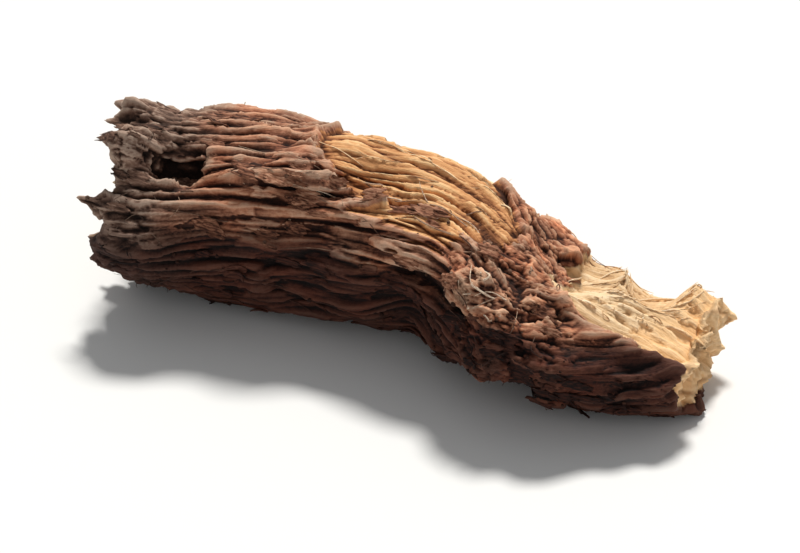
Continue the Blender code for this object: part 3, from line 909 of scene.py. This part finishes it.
class Pieces:
    """Many small closed bodies that make one piece of the scene."""

    def __init__(self):
        self.points = []
        self.faces = []
        self.tones = []

    def add(self, rings, ends, tone):
        """A closed body through rings of points, with a point at each end."""
        sides = len(rings[0])
        first = len(self.points)
        last = first + (len(rings) - 1) * sides
        tip = last + sides
        self.points.extend([point for ring in rings for point in ring])
        self.points.extend(ends)
        self.tones.extend([tone] * (len(self.points) - first))
        steps = [(k, (k + 1) % sides) for k in range(sides)]
        for row in range(first, last, sides):
            for a, b in steps:
                self.faces.append((row + a, row + b, row + sides + b, row + sides + a))
        for a, b in steps:
            self.faces.append((first + b, first + a, tip))
            self.faces.append((last + a, last + b, tip + 1))

    def add_plate(self, top, down, tone):
        """A thin closed plate between a grid of points and the same grid moved down."""
        columns = len(top[0])
        under = len(top) * columns
        grid = len(self.points) + np.arange(under).reshape(-1, columns)
        spots = [point for line in top for point in line]
        self.points.extend(spots)
        self.points.extend(point - down for point in spots)
        self.tones.extend([tone] * (2 * under))
        for a in grid[:-1, :-1].ravel().tolist():
            b = a + under
            self.faces.append((a, a + columns, a + columns + 1, a + 1))
            self.faces.append((b, b + 1, b + columns + 1, b + columns))
        rim = np.concatenate((grid[0, :-1], grid[:-1, -1], grid[-1, :0:-1], grid[:0:-1, 0])).tolist()
        for here, there in zip(rim, rim[1:] + rim[:1]):
            self.faces.append((here, there, there + under, here + under))

    def add_strand(self, line, radii, flatness, out, tone):
        """A tube along a line, wide across the way out of the root and flatness times as thick."""
        rings = []
        for k, (point, radius) in enumerate(zip(line, radii)):
            along = (line[min(k + 1, len(line) - 1)] - line[max(k - 1, 0)]).normalized()
            side = along.cross(out).normalized()
            up = side.cross(along)
            ring = []
            for n in range(STRAND_SIDES):
                turn = 2.0 * math.pi * n / STRAND_SIDES
                ring.append(point + radius * (math.cos(turn) * side + flatness * math.sin(turn) * up))
            rings.append(ring)
        tip = line[-1] + 0.4 * (line[-1] - line[-2])
        self.add(rings, (line[0], tip), tone)

    def finish(self, name, material):
        """Makes the piece, which rides on the chip."""
        mesh = bpy.data.meshes.new(name)
        points = np.array(self.points)
        points[:, 1] = np.clip(points[:, 1], BOX_FRONT, BOX_BACK)
        points[:, 2] = np.maximum(points[:, 2], 0.0)
        mesh.from_pydata(((points - LOFT_ORIGIN) * MM).tolist(), [], self.faces)
        write(mesh, "tone", np.array(self.tones))
        x, y, z = points.T
        heart_y, heart_z = station(x)[:2]
        write(mesh, "old", eased(*WORN_LOOK, x))
        # The shade painted on the chip's low side, which the bark pieces take on.
        write(mesh, "shade", painted_shade_low_side(x, np.degrees(np.arctan2(z - heart_z, y - heart_y)) % 360.0))
        dressed(name, mesh, material)


def strand_line(surface, draw, x, degrees, way, length, lift, curl, loose):
    """A line along the skin, sunk at its start. A loose one ends at its full lift, another sinks in again."""
    base, out = surface.at(x, degrees)
    heading = Vector((way, 0.0, 0.0)) + 0.35 * curl * Vector([draw.uniform(-1.0, 1.0) for _ in range(3)])
    turn = draw.uniform(-curl, curl)
    line = []
    for k in range(STRAND_STEPS + 1):
        share = k / STRAND_STEPS
        rise = share**1.4 if loose else math.sin(math.pi * share)
        line.append(base + (lift * rise - STRAND_SUNK * (1.0 - rise)) * out)
        turn += draw.uniform(-0.5, 0.5) * curl
        heading = Matrix.Rotation(turn / 3.0, 3, out) @ heading
        heading = (heading - heading.dot(out) * out).normalized()
        base = surface.near(base + length / STRAND_STEPS * heading + 0.15 * out)
        heart_y, heart_z = heart_at(base.x)
        out = Vector((0.0, base.y - heart_y, base.z - heart_z)).normalized()
    for _ in range(2):
        inner = [(line[k - 1] + 2.0 * line[k] + line[k + 1]) / 4.0 for k in range(1, STRAND_STEPS)]
        line = [line[0], *inner, line[-1]]
    for point in line:
        point.x = min(max(point.x, STRAND_CLEAR), LENGTH - STRAND_CLEAR)
        point.z = max(point.z, STRAND_CLEAR)
    return line, out


STRAND_SIDES = 6
STRAND_STEPS = 11
STRAND_SUNK = 0.10  # how deep a strand's fixed end lies in the skin
STRAND_CLEAR = 0.05  # how far strands stay inside the chip's length and above the floor
ALONG = (1.0,)
BOTH = (-1.0, 1.0)

# Loose strands: how many, from and to along the root, from and to in degrees, the ways they may point, their
# length, radius, flatness, lift, curl and tone, from and to, and the share of them that has a loose end.
BAST = (
    (80, (14.4, 19), (112, 250), BOTH, (0.6, 1.9), (0.014, 0.032), 0.6, (0.02, 0.2), 1.1, (0.0, 0.9), 0.5),
    (9, (16.1, 17.3), (134, 152), BOTH, (0.9, 1.8), (0.03, 0.055), 0.6, (0.08, 0.26), 1, (0.85, 1), 0.6),
    (60, (3, 15.5), (118, 240), BOTH, (1.2, 3.4), (0.014, 0.032), 0.6, (0.01, 0.08), 0.2, (0.0, 0.6), 0.4),
    (34, (6.4, 15.8), (108, 130), BOTH, (0.8, 2.4), (0.015, 0.038), 0.5, (0.02, 0.12), 0.15, (0.3, 0.9), 0.5),
    (40, (2, 22), (250, 330), BOTH, (1.2, 3.4), (0.015, 0.034), 0.6, (0.03, 0.12), 0.4, (0.0, 0.6), 0.4),
    (26, (1.2, 4.6), (90, 220), BOTH, (0.6, 1.6), (0.016, 0.036), 0.6, (0.04, 0.2), 0.7, (0.1, 0.7), 0.7),
)
SPLINTERS = (
    (60, (18.2, 21.8), (55, 112), ALONG, (0.9, 2.2), (0.022, 0.06), 0.45, (0.02, 0.11), 0.06, (0.3, 1), 0.8),
    (34, (18.4, 22.4), (4, 60), ALONG, (0.5, 1.4), (0.022, 0.07), 0.45, (0.04, 0.2), 0.12, (0.3, 1), 0.9),
    (80, (3, 21), (-38, 44), BOTH, (1.2, 3.4), (0.02, 0.06), 0.45, (0.02, 0.16), 0.07, (0.1, 0.9), 0.7),
    (26, (8, 15), (76, 112), BOTH, (1, 2.6), (0.022, 0.055), 0.4, (0.01, 0.08), 0.07, (0.2, 0.6), 0.5),
)


def strands(surface, rows, seed, name, material):
    """A piece of loose strands, strewn as its rows say."""
    draw = random.Random(seed)
    pieces = Pieces()
    for count, places, angles, ways, lengths, radii, flatness, lifts, curl, tones, loose_share in rows:
        for _ in range(count):
            loose = draw.random() < loose_share
            x = draw.uniform(*places)
            degrees = draw.uniform(*angles)
            way = draw.choice(ways)
            length = draw.uniform(*lengths)
            lift = draw.uniform(*lifts)
            line, out = strand_line(surface, draw, x, degrees, way, length, lift, curl, loose)
            radius = draw.uniform(*radii)
            taper = 0.7 if loose else 0.35
            widths = [radius * (1.0 - taper * (k / STRAND_STEPS) ** 1.5) for k in range(STRAND_STEPS + 1)]
            widths = [width * draw.uniform(0.8, 1.15) for width in widths]
            pieces.add_strand(line, widths, flatness, out, draw.uniform(*tones))
    pieces.finish(name, material)


FLAKE_STEPS = 9
FLAKE_COLUMNS = 6
FLAKE_THICKNESS = 0.035
FLAKE_HALF_LENGTHS = (0.25, 0.75)
FLAKE_SLIMNESS = (0.22, 0.42)  # half a flake's width as a share of half its length
FLAKE_LIFTS = (0.03, 0.22)
# Flakes of cork: how many, from and to along the root, from and to in degrees.
FLAKES = (
    (60, (2, 16.5), (118, 245)),
    (20, (6.5, 15.5), (118, 132)),
    (36, (14.5, 19.5), (130, 250)),
    (22, (19, 23), (165, 250)),
    (30, (2, 22), (250, 320)),
    (14, (1.2, 6), (60, 120)),
)


def add_flake(pieces, surface, draw, x, degrees):
    """A strip of cork along the skin, with ragged ends, that lifts at one of them."""
    middle, out = surface.at(x, degrees)
    length = draw.uniform(*FLAKE_HALF_LENGTHS)
    width = length * draw.uniform(*FLAKE_SLIMNESS)
    before = surface.near(middle + Vector((-0.4, 0.0, 0.0)) + 0.1 * out)
    after = surface.near(middle + Vector((0.4, 0.0, 0.0)) + 0.1 * out)
    along = Matrix.Rotation(draw.uniform(-0.16, 0.16), 3, out) @ (after - before).normalized()
    side = out.cross(along).normalized()
    out = along.cross(side)
    lift = draw.uniform(*FLAKE_LIFTS)
    way = draw.choice((-1.0, 1.0))
    curl = draw.uniform(-0.06, 0.10)
    shape = [draw.uniform(0.75, 1.1) for _ in range(FLAKE_STEPS)]
    starts = [-1.0 + draw.uniform(0.0, 0.55) for _ in range(FLAKE_COLUMNS)]
    stops = [1.0 - draw.uniform(0.0, 0.55) for _ in range(FLAKE_COLUMNS)]
    ridges = [draw.uniform(-0.02, 0.02) for _ in range(FLAKE_COLUMNS)]
    top = []
    for row in range(FLAKE_STEPS):
        line = []
        for column in range(FLAKE_COLUMNS):
            u = starts[column] + (stops[column] - starts[column]) * row / (FLAKE_STEPS - 1)
            v = (2.0 * column / (FLAKE_COLUMNS - 1) - 1.0) * shape[row] * (1.0 - 0.35 * u * u)
            spot = middle + length * u * along + width * v * side
            level = 0.75 * (surface.near(spot + 0.1 * out) - middle).dot(out)
            level += lift * max(way * u, 0.0) ** 1.6 + curl * v * v + ridges[column] + 0.03
            line.append(spot + level * out)
        top.append(line)
    pieces.add_plate(top, FLAKE_THICKNESS * out, draw.uniform(0.25, 0.70))


def flakes(surface, material):
    """All the flakes of cork."""
    draw = random.Random(31)
    pieces = Pieces()
    for count, places, angles in FLAKES:
        for _ in range(count):
            add_flake(pieces, surface, draw, draw.uniform(*places), draw.uniform(*angles))
    pieces.finish("cork_flakes", material)


CRUMB_SIDES = 7
CRUMB_SIZES = (0.035, 0.105)
# Crumbs: how many, from and to along the root, from and to in degrees.
CRUMBS = (
    (70, (14.8, 20), (108, 250)),
    (60, (1, 16), (100, 300)),
    (30, (16.5, 23), (150, 300)),
)


def crumbs(surface, material):
    """Grains of dust and cork caught in the wrinkles."""
    draw = random.Random(47)
    pieces = Pieces()
    for count, places, angles in CRUMBS:
        for _ in range(count):
            spot, out = surface.at(draw.uniform(*places), draw.uniform(*angles))
            size = draw.uniform(*CRUMB_SIZES)
            side = out.cross(Vector((1.0, 0.0, 0.0))).normalized()
            along = side.cross(out)
            rings = []
            for height, wide in ((-0.7, 0.7), (0.0, 1.0), (0.6, 0.75)):
                ring = []
                for k in range(CRUMB_SIDES):
                    turn = 2.0 * math.pi * k / CRUMB_SIDES
                    reach = wide * draw.uniform(0.75, 1.2)
                    way = reach * (math.cos(turn) * along + math.sin(turn) * side) + height * out
                    ring.append(spot + size * way)
                rings.append(ring)
            pieces.add(rings, (spot - size * out, spot + 0.95 * size * out), draw.uniform(0.0, 0.5))
    pieces.finish("crumbs", material)


def strand_material(name, stops, roughness, bark=True):
    """Fibre from dark to pale, by each body's own tone and by fine streaks."""
    graph = Graph(name, roughness)
    place = graph.add("ShaderNodeTexCoord", {}, 3)
    streaks = graph.noise(place, (1800.0, 13000.0, 13000.0), 3.0)
    tone = graph.shifted(graph.attribute("tone"), streaks, 1.6)
    old = graph.math("MULTIPLY", graph.attribute("old"), 0.75)
    colour = graph.mix(old, graph.ramp(tone, stops), graph.ramp(tone, OLD_STOPS))
    # Bark pieces get the shade painted on the chip's low side.
    if bark:
        colour = graph.with_painted_shade(colour)
    return graph.finish(colour, streaks, 0.00002)


def floor():
    """A plain pale floor."""
    bpy.ops.mesh.primitive_plane_add(size=FLOOR_SIZE, location=(0.0, 0.0, -FLOOR_GAP))
    plane = bpy.context.object
    plane.name = "floor"
    material = bpy.data.materials.new("pale floor")
    material.use_nodes = True
    shader = material.node_tree.nodes["Principled BSDF"]
    shader.inputs["Base Color"].default_value = (0.80, 0.80, 0.79, 1.0)
    shader.inputs["Roughness"].default_value = 0.9
    plane.data.materials.append(material)


def sun(name, direction, strength, spread, colour):
    """A light from a direction, as soft as its spread in degrees."""
    light = bpy.data.lights.new(name, "SUN")
    light.energy = strength
    light.angle = math.radians(spread)
    light.color = colour
    placed(name, light).rotation_euler = Vector(direction).to_track_quat("Z", "Y").to_euler()


def lights():
    """Plain soft studio light, its key from behind on the left."""
    sun("key", (-0.14, 0.60, 1.0), 3.6, 11.0, (1.0, 0.98, 0.94))
    sun("fill", (0.7, -0.9, 0.75), 0.18, 60.0, (0.97, 0.98, 1.0))
    world = bpy.data.worlds.new("studio")
    world.use_nodes = True
    background = world.node_tree.nodes["Background"]
    background.inputs["Color"].default_value = (0.98, 0.99, 1.0, 1.0)
    background.inputs["Strength"].default_value = 0.32
    bpy.context.scene.world = world
    bpy.context.scene.view_settings.view_transform = "Standard"


CAMERA_AZIMUTH = math.radians(25.0)
CAMERA_ELEVATION = math.radians(36.0)
CAMERA_DISTANCE = 0.145
CAMERA_TARGET = Vector((0.0, 0.0, 0.0026))
CAMERA_LENS = 180.0


def camera():
    """The photograph's angle, close to the chip through a long lens."""
    lens = bpy.data.cameras.new("camera")
    lens.lens = CAMERA_LENS
    lens.clip_start = 0.005
    obj = placed("camera", lens)
    away = Vector((math.sin(CAMERA_AZIMUTH), -math.cos(CAMERA_AZIMUTH), 0.0)) * math.cos(CAMERA_ELEVATION)
    away.z = math.sin(CAMERA_ELEVATION)
    obj.location = CAMERA_TARGET + CAMERA_DISTANCE * away
    obj.rotation_euler = away.to_track_quat("Z", "Y").to_euler()
    bpy.context.scene.camera = obj


surface = Surface(chip_skin())
strands(surface, BAST, 5, "bast_fibres", strand_material("bast fibre", BAST_STOPS, 0.75))
strands(surface, SPLINTERS, 6, "wood_splinters", strand_material("torn wood", WOOD_STOPS, 0.7, bark=False))
flakes(surface, strand_material("cork flake", BARK_STOPS, 0.85))
crumbs(surface, strand_material("crumb", BAST_STOPS, 0.9))
floor()
lights()
camera()
